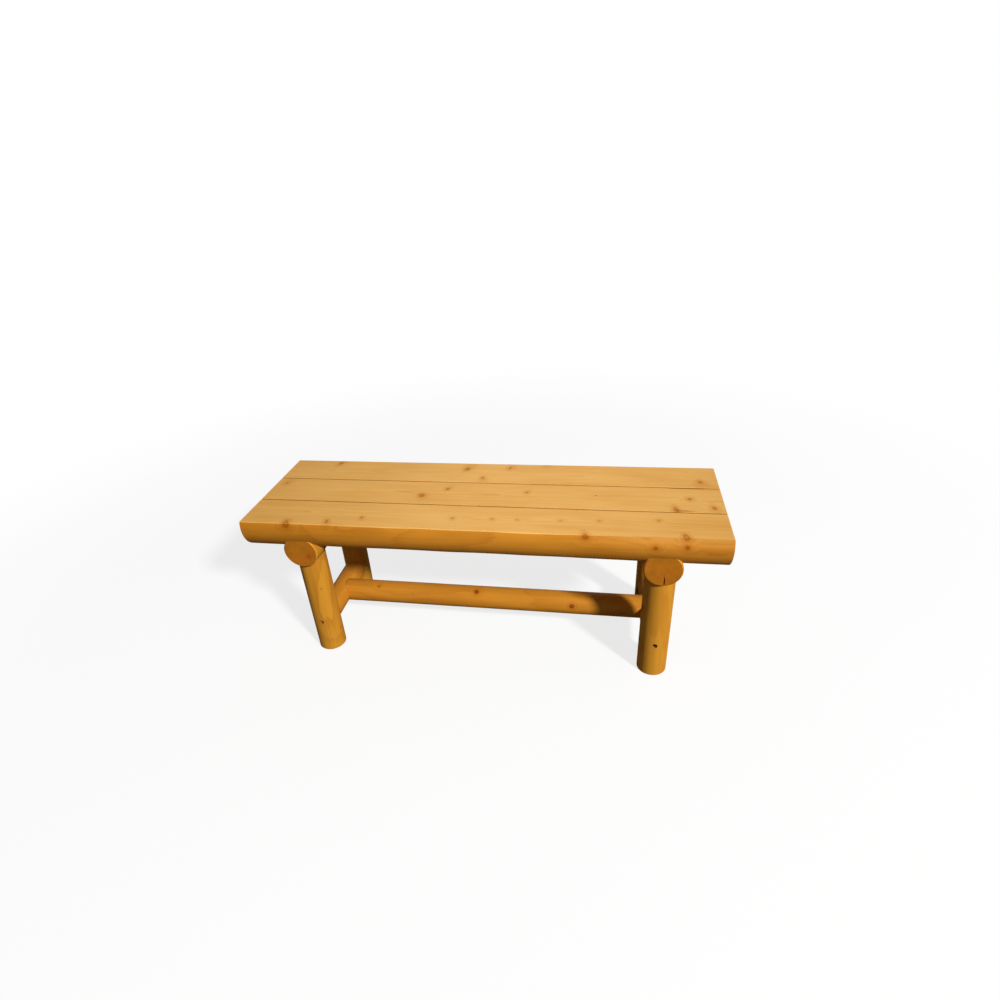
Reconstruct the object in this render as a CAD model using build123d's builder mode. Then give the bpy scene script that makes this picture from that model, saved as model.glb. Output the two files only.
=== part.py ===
from build123d import *
import math
import os

os.makedirs("parts", exist_ok=True)

# Millimetres. The origin is on the floor under the middle of the seat.
# +X runs along the bench to the right, +Y to the back, +Z up.

# whole bench
bench_length = 1150
bench_height = 420

# seat: three logs side by side, turned round, then sawn flat on top, below and where they meet
seat_log_width = 118
seam_gap = 3
seat_side_cut = 7.5  # sawn off each side of the middle log
seat_bottom_cut = 10
seat_top_rise = 23.5  # flat top above the middle of the log
seat_arris = 2  # rounding of the sawn edges
wane_radius = 7  # softer rounding where the top runs out into the round outer side
seat_end_chamfer = 1.5

# end frames: a bearer, two legs and a side rail at each end of the bench
frame_inset = 140  # end of the seat to the middle of the frame
leg_spacing = 244
leg_radius = 36.5
foot_chamfer = 2
bearer_radius = 44
bearer_overhang = 13  # how far the bearer stands out past the legs
bearer_end_chamfer = 3
saddle_depth = 37.5  # how deep the seat logs sit down over the bearers
rail_height = 93
side_rail_radius = 31
stretcher_radius = 31

# joints: the end of a log is hollowed to the round log that it meets, around a tenon
joint_clearance = 0.3
leg_horn = 17  # how far the hollowed top of a leg reaches up round the bearer
rail_horn = 16  # how far the hollowed end of a side rail reaches round the leg
stretcher_horn = 12  # how far the hollowed end of the stretcher reaches round the side rail
leg_tenon_radius = 15
leg_tenon_length = 38
rail_tenon_radius = 14
rail_tenon_length = 24
stretcher_tenon_radius = 13
stretcher_tenon_length = 17

# wood screws with a round head and a hexagon socket
wood_screw_radius = 3.25
head_radius = 6
head_height = 4
socket_radius = 2.9  # over the corners
socket_depth = 2.2
head_bore_radius = 6.5
rail_screw_length = 100
rail_screw_rise = 5  # above the middle of the rail
rail_screw_recess = 20  # outside of the leg to the seat of the head
stretcher_screw_recess = 12  # outside of the side rail to the seat of the head
leg_screw_length = 35
leg_screw_drop = 17  # below the middle of the bearer

# coach screws with a hexagon head and a square washer
coach_screw_radius = 4
coach_screw_length = 70
coach_head_radius = 7.5  # over the corners
coach_head_height = 5.5
washer_room = 1  # between the corners of the washer and the bore around it
washer_thickness = 2
washer_hole_radius = 4.5
head_room = 1.5  # free space between the head and the tenon below it

# every screw
screw_clearance = 0.2
pilot_spare = 1  # a hole goes this much deeper than its screw

# places that follow from the sizes above
seat_log_radius = seat_log_width / 2 + seat_side_cut
seat_thickness = seat_top_rise + seat_log_radius - seat_bottom_cut
seat_underside = bench_height - seat_thickness
seat_row_spacing = seat_log_width + seam_gap
frame_x = bench_length / 2 - frame_inset
leg_y = leg_spacing / 2
bearer_height = seat_underside + saddle_depth - bearer_radius
bearer_length = leg_spacing + 2 * (leg_radius + bearer_overhang)
leg_shoulder = bearer_height - bearer_radius
leg_tenon_top = leg_shoulder + leg_tenon_length
coach_screw_seat = leg_tenon_top + head_room + coach_head_height
mortise_top = coach_screw_seat + washer_thickness
leg_inside = leg_y - leg_radius
side_rail_inside = frame_x - side_rail_radius
rail_screw_seat = leg_y + leg_radius - rail_screw_recess
rail_screw_height = rail_height + rail_screw_rise
stretcher_screw_seat = frame_x + side_rail_radius - stretcher_screw_recess
leg_screw_height = bearer_height - leg_screw_drop
bearer_flank = math.sqrt(bearer_radius**2 - (leg_screw_drop + head_bore_radius) ** 2)
leg_screw_seat = frame_x - bearer_flank + head_height
mortise_radius = leg_tenon_radius + joint_clearance
washer_width = math.sqrt(2) * (mortise_radius - washer_room)

# which way each end, side and seat log of the bench lies from its middle
ends = {"left": -1, "right": 1}
sides = {"front": -1, "rear": 1}
seat_rows = {"front": -1, "middle": 0, "rear": 1}
along_x = (0, 90, 0)
along_y = (90, 0, 0)
from_below = (Align.CENTER, Align.CENTER, Align.MIN)
from_above = (Align.CENTER, Align.CENTER, Align.MAX)

# One plane for each screw, at the underside of its head and facing the way it is driven from.
# The screws and the holes for them are both placed by these.
rail_screw_seats = [
    Plane((end * frame_x, side * rail_screw_seat, rail_screw_height), z_dir=(0, side, 0))
    for end in ends.values()
    for side in sides.values()
]
stretcher_screw_seats = [
    Plane((end * stretcher_screw_seat, 0, rail_height), z_dir=(end, 0, 0))
    for end in ends.values()
]
leg_screw_seats = [
    Plane((end * leg_screw_seat, side * leg_y, leg_screw_height), z_dir=(-end, 0, 0))
    for end in ends.values()
    for side in sides.values()
]
coach_screw_seats = [
    Plane((end * frame_x, row * leg_y, coach_screw_seat), z_dir=(0, 0, -1))
    for end in ends.values()
    for row in seat_rows.values()
]


def save(node, name):
    node.part.label = name
    export_step(node.part, f"parts/{name}.step")


def drill_wood_screws(seats, length):
    with Locations(*seats):
        CounterBoreHole(
            wood_screw_radius + screw_clearance, head_bore_radius, 0, length + pilot_spare
        )


def drill_coach_screws():
    with Locations(*coach_screw_seats):
        Hole(coach_screw_radius + screw_clearance, coach_screw_length + pilot_spare)


# Hollows a piece to the bearers, so that it fits them closely and closes round their ends.
def cope_to_bearers():
    with Locations((-frame_x, 0, bearer_height), (frame_x, 0, bearer_height)):
        Cylinder(
            bearer_radius + joint_clearance,
            bearer_length + 2 * joint_clearance,
            rotation=along_y,
            mode=Mode.SUBTRACT,
        )


# Seat log, with a saddle over each bearer that stops at the end of the bearer. The front and rear
# logs keep their round outer side, whose widest point is the edge of the seat.
def make_seat_log(row):
    slot_y = row * seat_row_spacing
    axis_y = slot_y - row * seat_side_cut
    axis_z = bench_height - seat_top_rise
    section_width = seat_log_width + abs(row) * seat_log_radius
    section_y = slot_y + row * seat_log_radius / 2
    with BuildPart() as log:
        with BuildSketch(Plane.YZ.offset(-bench_length / 2)) as section:
            with Locations((axis_y, axis_z)):
                Circle(seat_log_radius)
            with Locations((section_y, bench_height - seat_thickness / 2)):
                Rectangle(section_width, seat_thickness, mode=Mode.INTERSECT)
            for corner in (0, -1):
                top_corners = section.vertices().group_by(Axis.Y)[-1].sort_by(Axis.X)
                is_outer = row == (-1 if corner == 0 else 1)
                fillet(top_corners[corner], wane_radius if is_outer else seat_arris)
        extrude(amount=bench_length)
        chamfer(log.faces().filter_by(Axis.X).edges(), seat_end_chamfer)
        cope_to_bearers()
        drill_coach_screws()
    return log


# Bearer: a round log across the bench, bored from below under each seat log. The outer bores hold
# the leg tenons, and every bore holds the head of a coach screw at its far end.
def make_bearer(end):
    with BuildPart() as bearer:
        with Locations((end * frame_x, 0, bearer_height)):
            Cylinder(bearer_radius, bearer_length, rotation=along_y)
        chamfer(bearer.edges().filter_by(GeomType.CIRCLE), bearer_end_chamfer)
        with Locations(*[(end * frame_x, row * leg_y, mortise_top) for row in seat_rows.values()]):
            Cylinder(mortise_radius, mortise_top, align=from_above, mode=Mode.SUBTRACT)
        drill_coach_screws()
        drill_wood_screws(leg_screw_seats, leg_screw_length)
    return bearer


# Leg: a post with its top hollowed to the bearer around a tenon, and a mortise for the side rail.
def make_leg(end, side):
    x = end * frame_x
    y = side * leg_y
    with BuildPart() as leg:
        with Locations((x, y, 0)):
            Cylinder(leg_radius, leg_shoulder + leg_horn, align=from_below)
        chamfer(leg.edges().group_by(Axis.Z)[0], foot_chamfer)
        cope_to_bearers()
        with Locations((x, y, leg_tenon_top)):
            Cylinder(leg_tenon_radius, leg_tenon_length + leg_tenon_radius, align=from_above)
        with Locations((x, 0, rail_height)):
            Cylinder(
                rail_tenon_radius + joint_clearance,
                2 * (leg_inside + rail_tenon_length + joint_clearance),
                rotation=along_y,
                mode=Mode.SUBTRACT,
            )
        drill_wood_screws(leg_screw_seats, leg_screw_length)
        drill_wood_screws(rail_screw_seats, rail_screw_length)
    return leg


# Side rail: hollowed to the legs around a tenon at each end, and bored for the stretcher.
def make_side_rail(end):
    x = end * frame_x
    with BuildPart() as rail:
        with Locations((x, 0, rail_height)):
            Cylinder(side_rail_radius, 2 * (leg_inside + rail_horn), rotation=along_y)
        with Locations((x, -leg_y, 0), (x, leg_y, 0)):
            Cylinder(
                leg_radius + joint_clearance, bench_height, align=from_below, mode=Mode.SUBTRACT
            )
        with Locations((x, 0, rail_height)):
            Cylinder(rail_tenon_radius, 2 * (leg_inside + rail_tenon_length), rotation=along_y)
        with Locations((0, 0, rail_height)):
            Cylinder(
                stretcher_tenon_radius + joint_clearance,
                2 * (side_rail_inside + stretcher_tenon_length + joint_clearance),
                rotation=along_x,
                mode=Mode.SUBTRACT,
            )
        drill_wood_screws(rail_screw_seats, rail_screw_length)
        drill_wood_screws(stretcher_screw_seats, rail_screw_length)
    return rail


# Long stretcher: hollowed to the side rails around a tenon at each end.
with BuildPart() as long_stretcher:
    with Locations((0, 0, rail_height)):
        Cylinder(stretcher_radius, 2 * (side_rail_inside + stretcher_horn), rotation=along_x)
    with Locations((-frame_x, 0, rail_height), (frame_x, 0, rail_height)):
        Cylinder(
            side_rail_radius + joint_clearance, bearer_length, rotation=along_y, mode=Mode.SUBTRACT
        )
    with Locations((0, 0, rail_height)):
        Cylinder(
            stretcher_tenon_radius, 2 * (side_rail_inside + stretcher_tenon_length), rotation=along_x
        )
    drill_wood_screws(stretcher_screw_seats, rail_screw_length)


# Wood screw without its thread, pointing down, with the underside of its head at the origin.
def make_wood_screw(length):
    with BuildPart() as screw:
        Cylinder(wood_screw_radius, length, align=from_above)
        Cylinder(head_radius, head_height, align=from_below)
        with BuildSketch(Plane.XY.offset(head_height)):
            RegularPolygon(socket_radius, 6)
        extrude(amount=-socket_depth, mode=Mode.SUBTRACT)
    return screw


# Coach screw without its thread, pointing down, with the underside of its hexagon head at the origin.
with BuildPart() as coach_screw:
    Cylinder(coach_screw_radius, coach_screw_length, align=from_above)
    with BuildSketch():
        RegularPolygon(coach_head_radius, 6)
    extrude(amount=coach_head_height)

with BuildPart() as washer:
    with BuildSketch():
        Rectangle(washer_width, washer_width)
        Circle(washer_hole_radius, mode=Mode.SUBTRACT)
    extrude(amount=-washer_thickness)


# One node of separate screws or washers, one in each seat.
def place_fasteners(fastener, seats):
    with BuildPart() as group:
        with Locations(*seats):
            add(fastener.part)
    return group


for row_name, row in seat_rows.items():
    save(make_seat_log(row), f"seat_log_{row_name}")

for end_name, end in ends.items():
    save(make_bearer(end), f"bearer_{end_name}")
    save(make_side_rail(end), f"side_rail_{end_name}")
    for side_name, side in sides.items():
        save(make_leg(end, side), f"leg_{side_name}_{end_name}")

save(long_stretcher, "long_stretcher")

rail_screw = make_wood_screw(rail_screw_length)
leg_screw = make_wood_screw(leg_screw_length)
save(place_fasteners(rail_screw, rail_screw_seats), "rail_screws")
save(place_fasteners(rail_screw, stretcher_screw_seats), "stretcher_screws")
save(place_fasteners(leg_screw, leg_screw_seats), "leg_screws")
save(place_fasteners(coach_screw, coach_screw_seats), "seat_screws")
save(place_fasteners(washer, coach_screw_seats), "seat_washers")
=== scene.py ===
import math
import bmesh
import bpy
from mathutils import Euler, Matrix, Vector, noise


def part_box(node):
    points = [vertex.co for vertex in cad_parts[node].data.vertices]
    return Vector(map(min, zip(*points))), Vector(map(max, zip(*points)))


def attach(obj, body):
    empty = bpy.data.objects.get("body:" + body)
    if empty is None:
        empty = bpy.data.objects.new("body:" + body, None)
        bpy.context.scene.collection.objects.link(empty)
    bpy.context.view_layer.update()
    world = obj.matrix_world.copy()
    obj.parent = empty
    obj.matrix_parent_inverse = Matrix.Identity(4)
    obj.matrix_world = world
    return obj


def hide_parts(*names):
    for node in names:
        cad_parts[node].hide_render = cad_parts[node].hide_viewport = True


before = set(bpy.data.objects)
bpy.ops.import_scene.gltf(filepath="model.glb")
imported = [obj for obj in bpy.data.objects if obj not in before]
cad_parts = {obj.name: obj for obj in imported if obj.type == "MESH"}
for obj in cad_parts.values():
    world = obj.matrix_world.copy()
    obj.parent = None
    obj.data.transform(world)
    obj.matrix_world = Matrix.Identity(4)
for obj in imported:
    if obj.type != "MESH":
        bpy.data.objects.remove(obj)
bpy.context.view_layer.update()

# Metres. The bench stands on z = 0, X runs along it, the front faces -Y.
axisLetters = "XYZ"


# Eight-bit screen colour to the linear values that the shaders take.
def paint(red, green, blue):
    def linear(part):
        part = part / 255
        return part / 12.92 if part <= 0.04045 else ((part + 0.055) / 1.055) ** 2.4
    return (linear(red), linear(green), linear(blue), 1)


print("camera and light")

camera = {
    "place": (0.2895, -1.3303, 1.1503),
    "turn": 0.2172,  # to the left of straight ahead
    "tilt": 0.5451,  # downwards
    "roll": -0.0751,
    "sensorWidth": 36,
    "nearest": 0.05,
    "pixels": 1000,
    "focalPixels": 614.3,
    "middle": (483.3, 526.5),  # where the line of sight meets the picture
}


def addCamera(given):
    ahead = Vector((
        -math.sin(given["turn"]) * math.cos(given["tilt"]),
        math.cos(given["turn"]) * math.cos(given["tilt"]),
        -math.sin(given["tilt"]),
    ))
    right = Vector((math.cos(given["turn"]), math.sin(given["turn"]), 0))
    right.rotate(Matrix.Rotation(-given["roll"], 3, ahead))
    up = right.cross(ahead)
    data = bpy.data.cameras.new("camera")
    data.sensor_width = given["sensorWidth"]
    data.lens = data.sensor_width * given["focalPixels"] / given["pixels"]
    data.shift_x = (given["pixels"] / 2 - given["middle"][0]) / given["pixels"]
    data.shift_y = (given["middle"][1] - given["pixels"] / 2) / given["pixels"]
    data.clip_start = given["nearest"]
    made = bpy.data.objects.new("camera", data)
    turned = Matrix((right, up, -ahead)).transposed().to_4x4()
    made.matrix_world = Matrix.Translation(given["place"]) @ turned
    bpy.context.scene.collection.objects.link(made)
    bpy.context.scene.camera = made


addCamera(camera)

lamp = {
    "from": (0.731, -0.682, 0.69),  # from the right and the front
    "aimedAt": (0, 0, 0.4),
    "distance": 12,
    "size": 1.3,
    "watts": 1700,
    "colour": (1, 0.985, 0.96),
}
sky = {"strength": 0.19, "colour": (0.98, 0.99, 1)}
floor = {
    "size": 30,
    "below": 0.0002,  # clear of the feet
    "colour": (0.975, 0.99, 1),
    "bounce": 0.12,  # what the floor throws back at the bench
    "glow": 0.78,  # how much of the floor is plain white, which thins the shadow
    "fade": (1.1, 2.6),  # from the bench to where the floor is plain white
}


def addLamp(given):
    data = bpy.data.lights.new("lamp", "AREA")
    data.shape = "DISK"
    data.size = given["size"]
    data.energy = given["watts"]
    data.color = given["colour"]
    made = bpy.data.objects.new("lamp", data)
    direction = Vector(given["from"]).normalized()
    made.location = Vector(given["aimedAt"]) + direction * given["distance"]
    made.rotation_mode = "QUATERNION"
    made.rotation_quaternion = direction.to_track_quat("Z", "Y")
    made.visible_camera = False
    bpy.context.scene.collection.objects.link(made)


# A value, vector or colour on its way through a material. Arithmetic on values adds Math nodes.
class Value:
    def __init__(self, finish, socket):
        self.finish = finish
        self.socket = socket

    def __add__(self, other):
        return self.finish.math("ADD", self, other)

    def __radd__(self, other):
        return self.finish.math("ADD", other, self)

    def __sub__(self, other):
        return self.finish.math("SUBTRACT", self, other)

    def __rsub__(self, other):
        return self.finish.math("SUBTRACT", other, self)

    def __mul__(self, other):
        return self.finish.math("MULTIPLY", self, other)

    def __truediv__(self, other):
        return self.finish.math("DIVIDE", self, other)

    def __pow__(self, other):
        return self.finish.math("POWER", self, other)


class Finish:
    def __init__(self, owner):
        owner.use_nodes = True
        self.tree = owner.node_tree
        self.tree.nodes.clear()

    def node(self, kind, settings, inputs, output=0):
        made = self.tree.nodes.new(kind)
        for key, setting in settings.items():
            setattr(made, key, setting)
        for key, given in inputs.items():
            if isinstance(given, Value):
                self.tree.links.new(given.socket, made.inputs[key])
            else:
                made.inputs[key].default_value = given
        return Value(self, made.outputs[output])

    def math(self, operation, *parts):
        return self.node("ShaderNodeMath", {"operation": operation}, dict(enumerate(parts)))

    # The second socket of the node holds the value of the operations that give one.
    def vector(self, operation, *parts):
        output = 1 if operation in ("DOT_PRODUCT", "LENGTH", "DISTANCE") else 0
        inputs = dict(enumerate(parts))
        return self.node("ShaderNodeVectorMath", {"operation": operation}, inputs, output)

    def scaled(self, vector, amount):
        inputs = {0: vector, "Scale": amount}
        return self.node("ShaderNodeVectorMath", {"operation": "SCALE"}, inputs)

    def split(self, vector):
        made = self.node("ShaderNodeSeparateXYZ", {}, {0: vector})
        return [Value(self, socket) for socket in made.socket.node.outputs]

    # The colour sockets of the node come after those for values and vectors.
    def mix(self, factor, first, second, blend="MIX"):
        return self.node(
            "ShaderNodeMix",
            {"data_type": "RGBA", "blend_type": blend},
            {0: factor, 6: first, 7: second},
            2,
        )

    def step(self, value, low, high):
        return self.node(
            "ShaderNodeMapRange",
            {"interpolation_type": "SMOOTHSTEP"},
            {"Value": value, "From Min": low, "From Max": high},
        )

    def noise(self, vector, scale, detail=2, output=0):
        inputs = {"Vector": vector, "Scale": scale, "Detail": detail}
        return self.node("ShaderNodeTexNoise", {}, inputs, output)

    def shown(self, surface, kind="ShaderNodeOutputMaterial"):
        made = self.tree.nodes.new(kind)
        self.tree.links.new(surface.socket, made.inputs["Surface"])


# White wherever the camera or a reflection looks past the bench, and a plain soft sky for light.
def addSky(given):
    world = bpy.data.worlds.new("sky")
    bpy.context.scene.world = world
    finish = Finish(world)
    seen = 0
    for ray in ("Is Camera Ray", "Is Glossy Ray", "Is Transmission Ray"):
        seen = finish.node("ShaderNodeLightPath", {}, {}, ray) + seen
    seen = finish.math("MINIMUM", seen, 1)
    colour = finish.mix(seen, (*given["colour"], 1), (1, 1, 1, 1))
    strength = seen * (1 - given["strength"]) + given["strength"]
    finish.shown(
        finish.node("ShaderNodeBackground", {}, {"Color": colour, "Strength": strength}),
        "ShaderNodeOutputWorld",
    )


# Pale floor that keeps the shadow of the bench and runs out into white further away.
def addFloor(given):
    mesh = bpy.data.meshes.new("floor")
    bm = bmesh.new()
    bmesh.ops.create_grid(bm, x_segments=1, y_segments=1, size=given["size"] / 2)
    bmesh.ops.translate(bm, verts=bm.verts, vec=(0, 0, -given["below"]))
    bm.to_mesh(mesh)
    bm.free()
    made = bpy.data.objects.new("floor", mesh)
    bpy.context.scene.collection.objects.link(made)
    material = bpy.data.materials.new("pale_floor")
    finish = Finish(material)
    seen = finish.node("ShaderNodeLightPath", {}, {}, "Is Camera Ray")
    bounce = (*[given["bounce"]] * 3, 1)
    pale = finish.mix(seen, bounce, (*given["colour"], 1))
    place = finish.node("ShaderNodeTexCoord", {}, {}, "Object")
    away = finish.step(finish.vector("LENGTH", place), *given["fade"])
    finish.shown(finish.node("ShaderNodeMixShader", {}, {
        0: (away * (1 - given["glow"]) + given["glow"]) * seen,
        1: finish.node("ShaderNodeBsdfDiffuse", {}, {"Color": pale}),
        2: finish.node("ShaderNodeEmission", {}, {"Strength": 1.0}),
    }))
    mesh.materials.append(material)


addLamp(lamp)
addSky(sky)
addFloor(floor)

print("wood finish")

seatWood = {
    "earlyWood": paint(246, 190, 107),  # sawn faces
    "lateWood": paint(219, 151, 65),
    "roundEarly": paint(214, 140, 41),  # turned round faces, which take more stain
    "roundLate": paint(172, 99, 20),
    "endEarly": paint(190, 114, 24),
    "endLate": paint(150, 82, 12),
    "endPatch": paint(168, 108, 26),
    "recessShadeTint": (0.4, 0.3, 0.22, 1),  # painted shade in seams, joints, bores and splits: what these faces keep of the colour
    "knotHalo": (0.89, 0.79, 0.64, 1),
    "knotRim": (0.77, 0.64, 0.48, 1),
    "knotHeart": (0.76, 0.62, 0.46, 1),
    "split": paint(80, 42, 14),
    "ringWidth": 0.0031,
    "pithWander": 0.022,
    "ringWaver": 0.005,
    "roughness": 0.58,
    "lightPoolAt": 0.1,  # painted pool of light: place along the log where the colour is brightest, darker and warmer towards its ends
    "fadeFrom": 0.05,
    "fadeTo": 0.75,
    "endTint": (0.79, 0.765, 0.64, 1),
    "turnedFrom": (0.8, 0.97),  # how squarely a turned face looks away from the middle of the log
}
frameWood = dict(
    seatWood,
    roundEarly=paint(206, 143, 44),
    roundLate=paint(176, 106, 22),
    knotRim=(0.5, 0.36, 0.2, 1),
    knotHeart=(0.6, 0.46, 0.28, 1),
    turnedFrom=(0.4, 0.65),
)
railWood = dict(frameWood, roundEarly=paint(202, 133, 39), roundLate=paint(170, 98, 19), fadeTo=2)

grain = {
    "branchLean": 0.22,  # of the knots, towards the end of the log
    "branchLeast": 0.002,
    "branchCore": 0.15,
    "ringBulge": 0.35,  # of the rings round a knot
    "wanderScale": 2.6,  # of the pith
    "crackWidth": 0.006,
    "crackShown": (0.58, 0.66),
    "lathePitch": 0.0075,
    "sawPitch": 0.0024,
    "reliefDepth": 0.001,
    "reliefStrength": 0.8,
}

# Noise in the wood: how much it is drawn out along the fibres, where 1 is not at all, its scale and
# its detail.
patterns = {
    "ruffle": (1, 160, 2),
    "waver": (0.16, 26, 3),
    "fibre": (0.025, 900, 2),
    "streak": (0.05, 110, 2),
    "cloud": (0.4, 11, 2),
    "crack": (0.012, 75, 1),
    "crackArea": (0.5, 9, 1),
    "patch": (1, 38, 2),
    "fuzz": (1, 700, 2),
}

# Which way the local X of the grain lies for a log along each axis.
grainTurn = {"X": (0, 0, 0), "Y": (0, 0, math.pi / 2), "Z": (0, -math.pi / 2, 0)}


# Solid wood of one log: growth rings round a wandering pith, with branches running out as knots.
def makeWood(name, log, given):
    material = bpy.data.materials.new(name)
    finish = Finish(material)
    radius = log["radius"]
    place = finish.node("ShaderNodeTexCoord", {}, {}, "Object")
    local = finish.node(
        "ShaderNodeMapping",
        {"vector_type": "TEXTURE"},
        {"Vector": place, "Location": log["middle"], "Rotation": grainTurn[log["axis"]]},
    )
    seeded = finish.vector("ADD", local, Vector((1.37, 0.61, 0.83)) * log["seed"])
    alongLog, _, upLog = finish.split(local)

    def pattern(name):
        stretch, scale, detail = patterns[name]
        return finish.noise(finish.vector("MULTIPLY", seeded, (stretch, 1, 1)), scale, detail)

    # distance from each branch, in widths of the knot, and the nearest of them all
    nearest = None
    for along, angle, size, faintness in log["knots"]:
        turn = math.radians(angle)
        branch = Vector((grain["branchLean"], math.cos(turn), math.sin(turn))).normalized()
        start = Vector((along - grain["branchLean"] * radius, 0, 0))
        fromStart = finish.vector("SUBTRACT", local, start)
        outwards = finish.vector("DOT_PRODUCT", fromStart, branch)
        beside = finish.vector("DISTANCE", fromStart, finish.scaled(branch, outwards))
        reach = finish.math("MAXIMUM", outwards, grain["branchLeast"])
        width = reach * (size / radius) + size * grain["branchCore"]
        distance = beside / width + faintness
        nearest = distance if nearest is None else finish.math("SMOOTH_MIN", nearest, distance, 0.6)
    ruffle = pattern("ruffle")
    nearest = nearest + (ruffle - 0.5) * 0.5
    swell = finish.math("EXPONENT", nearest * nearest * -0.3)

    # growth rings
    onlyAlong = finish.vector("MULTIPLY", seeded, (1, 0, 0))
    wander = finish.noise(onlyAlong, grain["wanderScale"], 1, "Color")
    drift = finish.vector("SUBTRACT", wander, (0.5, 0.5, 0.5))
    drift = finish.vector("MULTIPLY", drift, (0, given["pithWander"], given["pithWander"]))
    bent = finish.vector("ADD", local, drift)
    fromPith = finish.vector("LENGTH", finish.vector("MULTIPLY", bent, (0, 1, 1)))
    waver = (pattern("waver") - 0.5) * given["ringWaver"]
    age = (fromPith + waver - swell * (grain["ringBulge"] * radius)) / given["ringWidth"]
    growth = finish.math("FRACT", age)
    year = finish.math("FLOOR", age)
    vigour = finish.node(
        "ShaderNodeTexWhiteNoise", {"noise_dimensions": "1D"}, {"W": year + log["seed"]}
    )
    late = growth ** 2.2 * (1 - finish.step(growth, 0.9, 1.0)) * (vigour * 0.7 + 0.3)

    # fibres and streaks along the log
    fibre = pattern("fibre")
    streak = pattern("streak")
    cloud = pattern("cloud")

    # where the round side falls in, its upper part is paler, mixed towards the colour of the sawn faces
    paleness = 0
    for wane in log.get("wanes", []):
        upper = finish.step(upLog, -0.035, 0.02) * 0.1 + finish.step(upLog, 0.004, 0.026) * 0.26
        paleness = paleness + finish.step(alongLog, *wane["along"][:2]) * upper

    # what the surface is: end grain, turned round side, sawn face or a cut inside the log
    facing = finish.node("ShaderNodeTexCoord", {}, {}, "Normal")
    alongAxis = Vector([float(letter == log["axis"]) for letter in axisLetters])
    endOn = finish.math("ABSOLUTE", finish.vector("DOT_PRODUCT", facing, alongAxis))
    fromEnd = log["length"] / 2 - finish.math("ABSOLUTE", alongLog)
    endGrain = finish.step(endOn, 0.6, 0.85) * (1 - finish.step(fromEnd, 0.0001, 0.0007))
    fromMiddle = finish.vector("SUBTRACT", place, log["middle"])
    across = finish.vector("MULTIPLY", fromMiddle, Vector((1, 1, 1)) - alongAxis)
    outer = finish.step(finish.vector("LENGTH", across), radius * 0.87, radius * 0.93)
    squareOn = finish.vector("DOT_PRODUCT", facing, finish.vector("NORMALIZE", across))
    turned = outer * finish.step(squareOn, *given["turnedFrom"])
    for seam in log["seams"]:
        fromSeam = finish.math("ABSOLUTE", finish.split(place)[1] - seam)
        turned = turned * finish.step(fromSeam, 0.0003, 0.0007)
    inside = (1 - turned) * (1 - endGrain)
    for sawnAt in log["levels"]:
        level = finish.step(finish.math("ABSOLUTE", finish.split(facing)[2]), 0.45, 0.8)
        fromSawn = finish.math("ABSOLUTE", finish.split(place)[2] - sawnAt)
        inside = inside * (1 - level * (1 - finish.step(fromSawn, 0.0015, 0.003)))

    # hairline splits that follow the fibres here and there
    fromCrack = finish.math("ABSOLUTE", pattern("crack") - 0.5)
    crackLine = 1 - finish.step(fromCrack, 0, grain["crackWidth"])
    crackArea = finish.step(pattern("crackArea"), *grain["crackShown"])
    splits = crackLine * crackArea * turned

    stained = turned * (1 - paleness)
    early = finish.mix(stained, given["earlyWood"], given["roundEarly"])
    dark = finish.mix(stained, given["lateWood"], given["roundLate"])
    patch = finish.step(pattern("patch"), 0.42, 0.62)
    endColour = finish.mix(patch * 0.7, given["endEarly"], given["endPatch"])
    early = finish.mix(endGrain, early, endColour)
    dark = finish.mix(endGrain, dark, given["endLate"])
    tone = late * 0.75 + (streak - 0.5) * 0.7 + (cloud - 0.5) * 0.9 + (fibre - 0.5) * 0.35 + 0.1
    tone = finish.node("ShaderNodeClamp", {}, {0: tone})
    colour = finish.mix(tone, early, dark)
    # painted shade: faces inside seams, joints, bores and splits are darkened
    colour = finish.mix(inside, colour, given["recessShadeTint"], "MULTIPLY")
    # painted pool of light along logs that run along X: brightest at one place, darker and warmer
    # towards the ends
    if log["axis"] == "X":
        fromLightPool = finish.math("ABSOLUTE", alongLog - given["lightPoolAt"])
        fade = finish.step(fromLightPool, given["fadeFrom"], given["fadeTo"])
        colour = finish.mix(fade, colour, given["endTint"], "MULTIPLY")

    # knots: a halo, a dark rim and a ringed heart
    halo = 1 - finish.step(nearest, 0.9, 2.9)
    rim = (1 - finish.step(nearest, 0.8, 1.25)) * finish.step(nearest, 0.35, 0.75)
    heart = 1 - finish.step(nearest, 0.5, 1.0)
    heartRings = finish.math("FRACT", nearest * 4)
    colour = finish.mix(halo, colour, given["knotHalo"], "MULTIPLY")
    colour = finish.mix(rim, colour, given["knotRim"], "MULTIPLY")
    colour = finish.mix(heart * (1 - heartRings * 0.25), colour, given["knotHeart"], "MULTIPLY")
    colour = finish.mix(splits * 0.8, colour, given["split"])

    # stains in the end grain
    for spot, size, tint in log.get("stains", []):
        fromSpot = finish.vector("DISTANCE", local, spot) + (ruffle - 0.5) * size
        colour = finish.mix(1 - finish.step(fromSpot, size * 0.3, size), colour, tint, "MULTIPLY")

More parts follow.
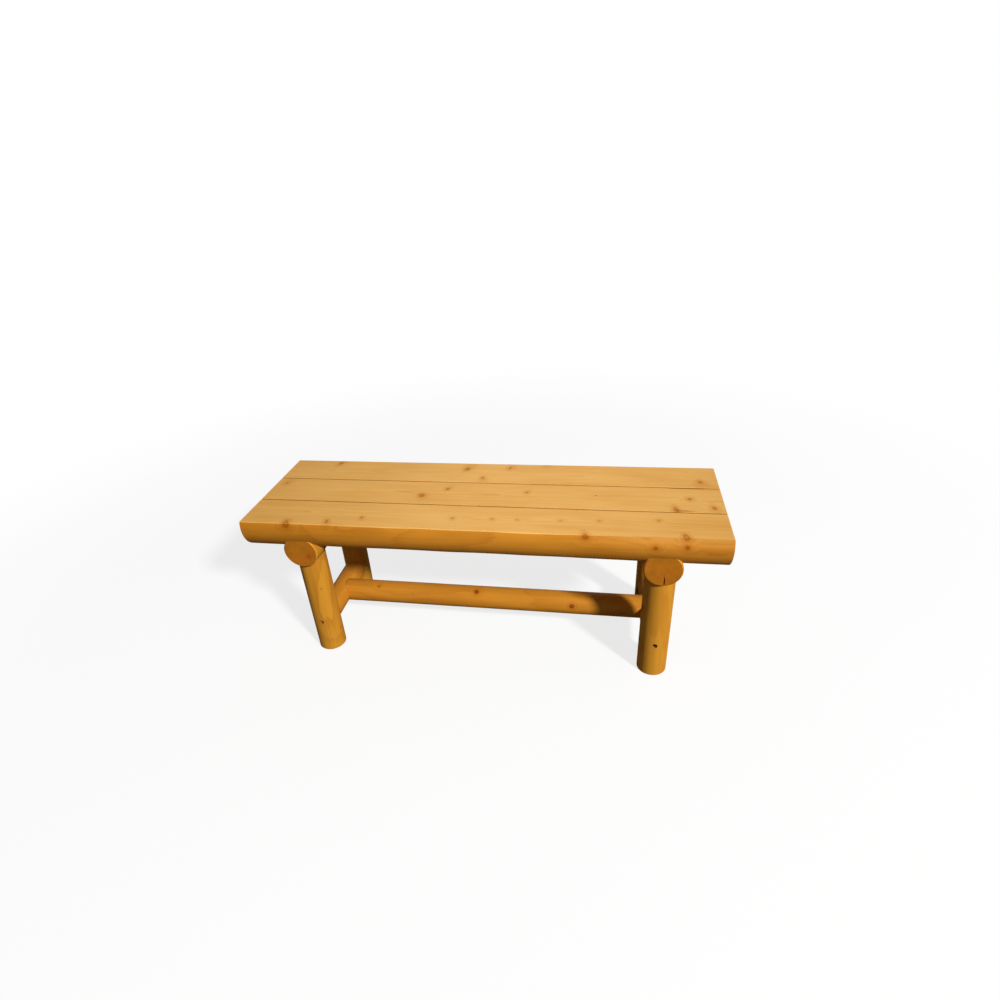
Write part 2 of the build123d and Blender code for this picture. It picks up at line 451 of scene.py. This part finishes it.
    # relief in millimetres
    lathe = finish.math("SINE", alongLog * (2 * math.pi / grain["lathePitch"]) + streak * 3)
    sawLines = finish.math("SINE", upLog * (2 * math.pi / grain["sawPitch"]) + streak * 6)
    relief = late * 0.12 + fibre * 0.09 + streak * 0.12 - splits * 0.6 + rim * 0.15 - heart * 0.1
    relief = relief + lathe * turned * 0.03 + endGrain * (pattern("fuzz") * 0.2 + sawLines * 0.04)
    bump = finish.node("ShaderNodeBump", {}, {
        "Height": relief,
        "Distance": grain["reliefDepth"],
        "Strength": grain["reliefStrength"],
    })
    roughness = given["roughness"] + (cloud - 0.5) * 0.2 - late * 0.06 + endGrain * 0.15
    finish.shown(finish.node("ShaderNodeBsdfPrincipled", {}, {
        "Base Color": colour,
        "Roughness": roughness,
        "Normal": bump,
        "Specular IOR Level": 0.1,
        "Coat Weight": 0.03,
        "Coat Roughness": 0.4,
    }))
    return material


print("log shapes")

# Knots are (place along the log, angle round it, radius, faintness). Places run along the grain
# from the middle of the log, and angles in degrees turn from its local Y to its local Z. A split is
# at an end (-1 or 1), between two distances from the pith, or along the side, between two places.
# A wane is where the round side falls in, and starts, is full, ends and is gone at four places.
logs = {
    "seat_log_front": {
        "axis": "X", "seed": 3, "wood": seatWood, "wave": 0.0018,
        "knots": [
            (-0.264, 132, 0.0095, 0.5), (-0.349, 152, 0.008, 0.5), (-0.452, 161, 0.0075, 0),
            (-0.041, 112, 0.013, 0.62), (0.054, 105, 0.012, 0.66), (0.113, 104, 0.010, 0.7),
            (0.213, 97, 0.010, 0.72), (0.300, 83, 0.011, 0.7), (0.431, 62, 0.011, 0.7),
            (0.262, 162, 0.006, 0), (0.478, 156, 0.0065, 0), (0.479, 176, 0.006, 0.3),
            (0.413, 180, 0.006, 0.3),
        ],
        "wanes": [{"along": (0.2, 0.42, 0.7, 0.8), "angle": 159, "spread": 15, "depth": 0.004}],
        "splits": [
            {"end": -1, "angle": 248, "inner": 0.012, "outer": 0.07, "width": 0.0022, "depth": 0.05},
            {"end": -1, "angle": 118, "inner": 0.006, "outer": 0.03, "width": 0.0012, "depth": 0.02},
            {"end": 1, "angle": 215, "inner": 0.01, "outer": 0.07, "width": 0.0018, "depth": 0.04},
            {"end": 1, "angle": 75, "inner": 0.004, "outer": 0.026, "width": 0.0012, "depth": 0.02},
        ],
    },
    "seat_log_middle": {
        "axis": "X", "seed": 11, "wood": seatWood, "wave": 0.001,
        "knots": [
            (-0.146, 122, 0.013, 0), (-0.087, 48, 0.0095, 0.3), (-0.540, 38, 0.014, 0.7),
            (0.119, 58, 0.011, 0.5), (0.508, 82, 0.015, 0.3), (0.555, 146, 0.011, 0.5),
            (0.300, 250, 0.009, 0), (0.467, 154, 0.0075, 0.2),
        ],
        "wanes": [{"along": (0.41, 0.46, 0.53, 0.57), "angle": 22, "spread": 9, "depth": 0.0056}],
        "splits": [
            {"end": -1, "angle": 282, "inner": 0.008, "outer": 0.06, "width": 0.002, "depth": 0.05},
            {"end": 1, "angle": 262, "inner": 0.008, "outer": 0.06, "width": 0.0024, "depth": 0.06},
            {"end": 1, "angle": 64, "inner": 0.004, "outer": 0.024, "width": 0.0012, "depth": 0.02},
            {"from": 0.43, "to": 0.54, "angle": 156, "width": 0.0036, "depth": 0.022},
        ],
    },
    "seat_log_rear": {
        "axis": "X", "seed": 21, "wood": seatWood, "wave": 0.0018,
        "knots": [
            (-0.060, 45, 0.013, 0.2), (-0.008, 137, 0.012, 0.5), (-0.436, 28, 0.010, 0.5),
            (0.055, 34, 0.010, 0.6), (0.540, 131, 0.018, 0.5), (-0.25, 5, 0.008, 0),
            (0.33, 350, 0.007, 0), (0.15, 12, 0.008, 0),
        ],
        "splits": [
            {"end": -1, "angle": 300, "inner": 0.01, "outer": 0.07, "width": 0.002, "depth": 0.05},
            {"end": 1, "angle": 330, "inner": 0.01, "outer": 0.07, "width": 0.0022, "depth": 0.05},
            {"from": -0.33, "to": -0.08, "angle": 344, "width": 0.0024, "depth": 0.014},
            {"from": 0.12, "to": 0.27, "angle": 357, "width": 0.0016, "depth": 0.01},
        ],
    },
    "bearer_left": {
        "axis": "Y", "seed": 5, "wood": frameWood, "wave": 0.0003,
        "knots": [(-0.05, 340, 0.007, 0), (0.08, 200, 0.007, 0)],
        "stains": [((-0.1715, -0.0198, -0.0128), 0.011, (0.9, 0.6, 0.45, 1))],
        "splits": [
            {"end": 1, "angle": 250, "inner": 0.008, "outer": 0.048, "width": 0.002, "depth": 0.03},
        ],
    },
    "bearer_right": {
        "axis": "Y", "seed": 8, "wood": frameWood, "wave": 0.0003,
        "knots": [(-0.06, 20, 0.006, 0), (0.06, 215, 0.008, 0)],
        "splits": [
            {"end": -1, "angle": 261.7, "inner": 0.011, "outer": 0.052, "width": 0.0034, "depth": 0.04},
            {"end": 1, "angle": 285, "inner": 0.008, "outer": 0.046, "width": 0.0018, "depth": 0.03},
        ],
    },
    "leg_front_left": {
        "axis": "Z", "seed": 13, "wood": frameWood, "wave": 0.0004,
        "knots": [(0.06, 35, 0.006, 0), (-0.09, 80, 0.007, 0)],
    },
    "leg_front_right": {
        "axis": "Z", "seed": 17, "wood": frameWood, "wave": 0.0004,
        "knots": [(0.03, 100, 0.006, 0), (-0.08, 285, 0.005, 0)],
    },
    "leg_rear_left": {
        "axis": "Z", "seed": 19, "wood": frameWood, "wave": 0.0004,
        "knots": [(-0.02, 20, 0.006, 0), (0.09, 300, 0.006, 0)],
        "splits": [{"from": -0.03, "to": 0.11, "angle": 66, "width": 0.0016, "depth": 0.01}],
    },
    "leg_rear_right": {
        "axis": "Z", "seed": 23, "wood": frameWood, "wave": 0.0004,
        "knots": [(0.05, 340, 0.006, 0), (-0.10, 120, 0.006, 0)],
    },
    "side_rail_left": {
        "axis": "Y", "seed": 29, "wood": railWood, "wave": 0.0003,
        "knots": [(0.03, 230, 0.005, 0)],
    },
    "side_rail_right": {
        "axis": "Y", "seed": 31, "wood": railWood, "wave": 0.0003,
        "knots": [(0.03, 60, 0.005, 0)],
    },
    "long_stretcher": {
        "axis": "X", "seed": 37, "wood": railWood, "wave": 0.0003,
        "knots": [
            (-0.034, 117, 0.0052, 0), (0.227, 163, 0.0048, 0), (-0.316, 118, 0.0045, 0.6),
            (0.1, 20, 0.006, 0), (-0.2, 330, 0.005, 0),
        ],
        "splits": [{"from": -0.05, "to": 0.2, "angle": 62, "width": 0.0016, "depth": 0.01}],
    },
}

# The seat logs were turned round before their flat faces were sawn.
seatLog = {"radius": 0.0665, "topRise": 0.0235}
turning = {
    "segments": 84,
    "ringSpacing": 0.005,
    "spare": 0.01,  # past the ends, before the ends are cut
    "skin": 0.0032,  # least that the surface lies inside the true round, for each unit of radius
    "waveLength": 0.11,
    "aroundShare": 0.6,  # how fast the wave changes round the log
    "seedStep": 5.3,
}


def measureLog(name, log):
    low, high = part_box(name)
    low, high = Vector(low), Vector(high)
    middle = (low + high) / 2
    size = high - low
    letter = axisLetters.index(log["axis"])
    log["length"] = size[letter]
    if log["wood"] is seatWood:
        log["radius"] = seatLog["radius"]
        middle.z = high.z - seatLog["topRise"]
        log["levels"] = [low.z, high.z]
        log["seams"] = [low.y, high.y]
        if name.endswith("front"):
            middle.y = low.y + log["radius"]
            log["seams"] = [high.y]
        if name.endswith("rear"):
            middle.y = high.y - log["radius"]
            log["seams"] = [low.y]
    else:
        others = [size[i] for i in range(3) if i != letter]
        log["radius"] = min(others) / 2
        log["seams"] = []
        log["levels"] = []
    log["middle"] = middle
    log["place"] = Matrix.Translation(middle) @ Euler(grainTurn[log["axis"]]).to_matrix().to_4x4()


def newPiece(name, bm):
    mesh = bpy.data.meshes.new(name)
    bm.to_mesh(mesh)
    bm.free()
    piece = bpy.data.objects.new(name, mesh)
    bpy.context.scene.collection.objects.link(piece)
    return piece


# Cuts a piece by a tool that is used up.
def cut(piece, tool, operation):
    modifier = piece.modifiers.new("cut", "BOOLEAN")
    modifier.operation = operation
    modifier.solver = "EXACT"
    modifier.object = tool
    evaluated = piece.evaluated_get(bpy.context.evaluated_depsgraph_get())
    mesh = bpy.data.meshes.new_from_object(evaluated)
    piece.modifiers.clear()
    piece.data = mesh
    bpy.data.objects.remove(tool)


# How far the round side falls in where the blank was short of wood.
def waneDip(wane, spot):
    aside = math.degrees(math.atan2(spot.z, spot.y)) - wane["angle"]
    aside = (aside + 180) % 360 - 180
    starts, full, ends, gone = wane["along"]
    share = min((spot.x - starts) / (full - starts), (gone - spot.x) / (gone - ends))
    return wane["depth"] * min(max(share, 0), 1) * math.exp(-((aside / wane["spread"]) ** 2))


def rise(edge):
    return abs(edge.verts[0].co.z - edge.verts[1].co.z)


# Turned log in even rings, a little out of round along its length.
def turnLog(name, log):
    bm = bmesh.new()
    length = log["length"] + 2 * turning["spare"]
    bmesh.ops.create_cone(
        bm, cap_ends=True, segments=turning["segments"],
        radius1=log["radius"], radius2=log["radius"], depth=length,
    )
    sides = [edge for edge in bm.edges if rise(edge) > length / 2]
    rings = round(length / turning["ringSpacing"])
    bmesh.ops.subdivide_edges(bm, edges=sides, cuts=rings, use_grid_fill=True)
    bmesh.ops.rotate(bm, verts=bm.verts, matrix=Matrix.Rotation(math.pi / 2, 3, "Y"))
    for vert in bm.verts:
        outwards = Vector((0, vert.co.y, vert.co.z)).normalized()
        around = turning["aroundShare"]
        spot = Vector((vert.co.x / turning["waveLength"], outwards.y * around, outwards.z * around))
        dip = 0.5 + 0.5 * noise.noise(spot + Vector((log["seed"] * turning["seedStep"], 0, 0)))
        fall = turning["skin"] * log["radius"] + log["wave"] * min(max(dip, 0), 1)
        fall += sum(waneDip(wane, vert.co) for wane in log.get("wanes", []))
        vert.co -= outwards * fall
    bmesh.ops.transform(bm, matrix=log["place"], verts=bm.verts)
    return newPiece(name, bm)


splitting = {
    "proud": 0.05,  # share of the wedge's depth that stands out of the surface
    "leastSlices": 5,
    "sliceLength": 0.012,
    "wander": 0.7,  # for each unit of the split's width
    "wanderScale": 60,
    "seedStep": 3.7,
}


# Thin diamond wedge that opens a drying split, with its mouth on the surface of the log.
def addSplit(tool, log, split, seed):
    turn = math.radians(split["angle"])
    outwards = Vector((0, math.cos(turn), math.sin(turn)))
    if "end" in split:
        along = outwards
        outwards = Vector((split["end"], 0, 0))
        mouth = outwards * log["length"] / 2 + along * (split["inner"] + split["outer"]) / 2
        length = split["outer"] - split["inner"]
    else:
        along = Vector((1, 0, 0))
        mouth = along * (split["from"] + split["to"]) / 2 + outwards * log["radius"]
        length = split["to"] - split["from"]
    wedge = bmesh.new()
    bmesh.ops.create_cone(wedge, cap_ends=True, segments=4, radius1=0.5, radius2=0, depth=1)
    bmesh.ops.rotate(wedge, verts=wedge.verts, matrix=Matrix.Rotation(math.pi, 3, "X"))
    bmesh.ops.translate(wedge, verts=wedge.verts, vec=(0, 0, splitting["proud"] - 0.5))
    bmesh.ops.scale(wedge, verts=wedge.verts, vec=(length, split["width"], split["depth"]))
    slices = max(splitting["leastSlices"], round(length / splitting["sliceLength"]))
    for number in range(1, slices):
        bmesh.ops.bisect_plane(
            wedge, geom=[*wedge.verts, *wedge.edges, *wedge.faces],
            plane_co=(length * (number / slices - 0.5), 0, 0), plane_no=(1, 0, 0),
        )
    for vert in wedge.verts:
        spot = Vector((vert.co.x * splitting["wanderScale"], seed * splitting["seedStep"], 0))
        vert.co.y += split["width"] * splitting["wander"] * noise.noise(spot)
    place = Matrix((along, outwards.cross(along), outwards)).transposed().to_4x4()
    place.translation = mouth
    bmesh.ops.transform(wedge, matrix=log["place"] @ place, verts=wedge.verts)
    mesh = bpy.data.meshes.new("split")
    wedge.to_mesh(mesh)
    wedge.free()
    tool.from_mesh(mesh)
    bpy.data.meshes.remove(mesh)


def openSplits(piece, log):
    tool = bmesh.new()
    for number, split in enumerate(log["splits"]):
        addSplit(tool, log, split, log["seed"] + number)
    cut(piece, newPiece("tool", tool), "DIFFERENCE")


# The CAD piece as one closed tool, which holds the joints, bores and sawn faces.
def nodeTool(name):
    bm = bmesh.new()
    bm.from_mesh(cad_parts[name].data)
    bmesh.ops.remove_doubles(bm, verts=bm.verts, dist=1e-6)
    tool = newPiece("tool", bm)
    stored = tool.data.attributes.get("custom_normal")  # would bend the shading of the cut edges
    if stored:
        tool.data.attributes.remove(stored)
    return tool


sharpAngle = math.radians(32)

for name, log in logs.items():
    measureLog(name, log)
    piece = turnLog(name + "_timber", log)
    cut(piece, nodeTool(name), "INTERSECT")
    if "splits" in log:
        openSplits(piece, log)
    piece.data.materials.clear()
    piece.data.materials.append(makeWood(name + "_wood", log, log["wood"]))
    piece.data.shade_smooth()
    piece.data.set_sharp_from_angle(angle=sharpAngle)
    piece.modifiers.new("faceNormals", "WEIGHTED_NORMAL").keep_sharp = True
    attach(piece, "root")
    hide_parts(name)
    print(" ", name, len(piece.data.polygons), "faces")

print("screws")

metalSharpAngle = math.radians(35)
zinc = {
    "bright": paint(150, 147, 138),
    "dull": paint(98, 95, 86),
    "roughness": 0.38,
    "cloudScale": 260,
    "spangleScale": 1100,
    "scratchScale": 2500,
    "reliefDepth": 0.001,
}


def makeZinc(given):
    material = bpy.data.materials.new("dull_zinc")
    finish = Finish(material)
    place = finish.node("ShaderNodeTexCoord", {}, {}, "Object")
    cloud = finish.noise(place, given["cloudScale"], 3)
    spangle = finish.noise(place, given["spangleScale"], 1)
    scratch = finish.noise(finish.vector("MULTIPLY", place, (1, 1, 0.1)), given["scratchScale"], 2)
    dullness = finish.step(cloud + (spangle - 0.5) * 0.4, 0.38, 0.66)
    colour = finish.mix(dullness, given["bright"], given["dull"])
    relief = scratch * 0.02 + spangle * 0.015
    bump = finish.node("ShaderNodeBump", {}, {"Height": relief, "Distance": given["reliefDepth"]})
    finish.shown(finish.node("ShaderNodeBsdfPrincipled", {}, {
        "Base Color": colour,
        "Metallic": 1,
        "Roughness": given["roughness"] + (cloud - 0.5) * 0.3,
        "Normal": bump,
    }))
    return material


steel = makeZinc(zinc)


def finishMetal(piece, node):
    piece.data.materials.clear()
    piece.data.materials.append(steel)
    piece.data.shade_smooth()
    piece.data.set_sharp_from_angle(angle=metalSharpAngle)
    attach(piece, "root")
    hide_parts(node)
    print(" ", piece.name, len(piece.data.polygons), "faces")


# The corners of each separate solid of a node, which is one screw or washer.
def solidsOf(name):
    bm = bmesh.new()
    bm.from_mesh(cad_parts[name].data)
    bmesh.ops.remove_doubles(bm, verts=bm.verts, dist=1e-6)
    solids = []
    for start in bm.verts:
        if start.tag:
            continue
        start.tag = True
        front = [start]
        solid = []
        while front:
            vert = front.pop()
            solid.append(vert.co.copy())
            for edge in vert.link_edges:
                other = edge.other_vert(vert)
                if not other.tag:
                    other.tag = True
                    front.append(other)
        solids.append(solid)
    bm.free()
    return solids


def boxOf(solid):
    low = Vector([min(corner[i] for corner in solid) for i in range(3)])
    high = Vector([max(corner[i] for corner in solid) for i in range(3)])
    return low, high


# From the underside of a head, with Z out through the head. The head is the wider end.
def screwPlace(solid, headHeight):
    low, high = boxOf(solid)
    size = high - low
    letter = max(range(3), key=lambda i: size[i])
    middle = (low + high) / 2

    def girth(end):
        ring = [corner - middle for corner in solid if abs(corner[letter] - end) < 1e-5]
        return max(corner.length for corner in ring)

    outwards = Vector((0, 0, 0))
    outwards[letter] = 1 if girth(high[letter]) > girth(low[letter]) else -1
    place = outwards.to_track_quat("Z", "Y").to_matrix().to_4x4()
    place.translation = middle + outwards * (size[letter] / 2 - headHeight)
    return place, size[letter] - headHeight


# Solid of revolution about Z from (radius, height) points that start and end on the axis.
def spun(points, steps):
    bm = bmesh.new()
    verts = [bm.verts.new((radius, 0, height)) for radius, height in points]
    edges = [bm.edges.new(pair) for pair in zip(verts, verts[1:])]
    bmesh.ops.spin(
        bm, geom=verts + edges, axis=(0, 0, 1), cent=(0, 0, 0),
        angle=2 * math.pi, steps=steps, use_merge=True,
    )
    bmesh.ops.remove_doubles(bm, verts=bm.verts, dist=1e-7)
    bmesh.ops.recalc_face_normals(bm, faces=bm.faces)
    return bm


# Ridge of the thread, wound down the shank as one closed helix.
def windThread(bm, given, length):
    pitch = given["pitch"]
    top = -length * given["plainShare"]
    turns = round((length - given["tip"] + top) / pitch)
    root = given["core"] - given["rootDepth"]
    ridge = zip((root, given["crest"], given["crest"], root), given["ridgeHeights"])
    verts = [bm.verts.new((radius, 0, top - height * pitch)) for radius, height in ridge]
    face = bm.faces.new(verts)
    steps = given["threadSteps"]
    bmesh.ops.spin(
        bm, geom=[face, *face.edges, *verts], axis=(0, 0, 1), cent=(0, 0, 0),
        dvec=(0, 0, -pitch / steps), angle=2 * math.pi * turns, steps=steps * turns,
    )
    bmesh.ops.recalc_face_normals(bm, faces=bm.faces)


# Shank with a tapered tip, from the underside of the head down.
def shankPoints(given, length):
    plainEnd = -length * given["plainShare"]
    return [
        (given["plain"], 0), (given["plain"], plainEnd), (given["core"], plainEnd - given["step"]),
        (given["core"], -length + given["tip"]),
        (given["core"] * 0.55, -length + given["tip"] * 0.4),  # a little full before the point
        (0, -length),
    ]


# What both kinds of screw have in common. Ridge heights are in pitches of the thread.
thread = {"rootDepth": 0.0002, "ridgeHeights": (0, 0.36, 0.46, 0.8), "step": 0.001}

woodScrew = dict(
    thread, plain=0.0026, core=0.0023, crest=0.0032, pitch=0.0028, threadSteps=14,
    plainShare=0.34, tip=0.008, headHeight=0.004, steps=32, socket=0.0028, socketDepth=0.0022,
    head=[
        (0, 0.004), (0.0041, 0.004), (0.0051, 0.0037), (0.0057, 0.0031),
        (0.00595, 0.0022), (0.00595, 0.0003), (0.0057, 0),
    ],
)


def makeWoodScrew(given, length):
    screw = newPiece("screw", spun(given["head"] + shankPoints(given, length), given["steps"]))
    socket = bmesh.new()
    bmesh.ops.create_cone(
        socket, cap_ends=True, segments=6, radius1=given["socket"], radius2=given["socket"],
        depth=2 * given["socketDepth"],
    )
    bmesh.ops.translate(socket, verts=socket.verts, vec=(0, 0, given["headHeight"]))
    cut(screw, newPiece("tool", socket), "DIFFERENCE")
    return screw


coachScrew = dict(
    thread, plain=0.0039, core=0.003, crest=0.0039, pitch=0.0036, threadSteps=16,
    plainShare=0.36, tip=0.01, headHeight=0.0055, steps=36,
    corner=0.0075, flat=0.0061, slope=0.0008, crownSteps=48,
)


def makeCoachScrew(given, length):
    head = bmesh.new()
    bmesh.ops.create_cone(
        head, cap_ends=True, segments=6, radius1=given["corner"], radius2=given["corner"],
        depth=given["headHeight"],
    )
    bmesh.ops.translate(head, verts=head.verts, vec=(0, 0, given["headHeight"] / 2))
    screw = newPiece("screw", head)
    # the tools overlap the head, so that none of their faces coincide with its own
    wide = given["corner"] * 1.02
    top = given["headHeight"] + 0.0001
    overlap = 0.001
    crown = spun([
        (0, top), (given["flat"], top), (wide, given["headHeight"] - given["slope"]),
        (wide, -overlap), (0, -overlap),
    ], given["crownSteps"])
    cut(screw, newPiece("tool", crown), "INTERSECT")
    shank = spun([(0, overlap), *shankPoints(given, length)], given["steps"])
    cut(screw, newPiece("tool", shank), "UNION")
    return screw


# Every screw of a node as one piece, each turned to where its driver left it.
def placeScrews(pieceName, node, given, make):
    driverTurn = 0.83  # from one screw to the next
    bm = bmesh.new()
    threaded = None
    for number, solid in enumerate(solidsOf(node)):
        place, length = screwPlace(solid, given["headHeight"])
        if threaded is None:
            screw = make(given, length)
            threaded = bmesh.new()
            windThread(threaded, given, length)
            threaded.from_mesh(screw.data)
            bpy.data.objects.remove(screw)
        mesh = bpy.data.meshes.new("screw")
        threaded.to_mesh(mesh)
        mesh.transform(place @ Matrix.Rotation(number * driverTurn, 4, "Z"))
        bm.from_mesh(mesh)
        bpy.data.meshes.remove(mesh)
    threaded.free()
    finishMetal(newPiece(pieceName, bm), node)


washer = {"hole": 0.0045, "holeSteps": 40, "holeDepth": 0.02, "edge": 0.0004, "rounding": 0.0012}


# Square plate washers with eased corners and edges.
def placeWashers(pieceName, node, given):
    bm = bmesh.new()
    for solid in solidsOf(node):
        low, high = boxOf(solid)
        plate = bmesh.new()
        bmesh.ops.create_cube(plate, size=1)
        bmesh.ops.scale(plate, verts=plate.verts, vec=high - low)
        upright = [edge for edge in plate.edges if rise(edge) > 0.001]
        bmesh.ops.bevel(
            plate, geom=upright, offset=given["rounding"],
            segments=3, profile=0.5, affect="EDGES", material=-1,
        )
        level = [edge for edge in plate.edges if rise(edge) < 1e-6]
        bmesh.ops.bevel(
            plate, geom=level, offset=given["edge"],
            segments=2, profile=0.5, affect="EDGES", material=-1,
        )
        bmesh.ops.translate(plate, verts=plate.verts, vec=(low + high) / 2)
        piece = newPiece("plate", plate)
        hole = bmesh.new()
        bmesh.ops.create_cone(
            hole, cap_ends=True, segments=given["holeSteps"],
            radius1=given["hole"], radius2=given["hole"], depth=given["holeDepth"],
        )
        bmesh.ops.translate(hole, verts=hole.verts, vec=(low + high) / 2)
        cut(piece, newPiece("tool", hole), "DIFFERENCE")
        bm.from_mesh(piece.data)
        bpy.data.objects.remove(piece)
    finishMetal(newPiece(pieceName, bm), node)


placeScrews("rail_screw_set", "rail_screws", woodScrew, makeWoodScrew)
placeScrews("stretcher_screw_set", "stretcher_screws", woodScrew, makeWoodScrew)
placeScrews("leg_screw_set", "leg_screws", dict(woodScrew, plainShare=0.15), makeWoodScrew)
placeScrews("coach_screw_set", "seat_screws", coachScrew, makeCoachScrew)
placeWashers("washer_set", "seat_washers", washer)

bpy.context.scene.view_settings.view_transform = "Standard"
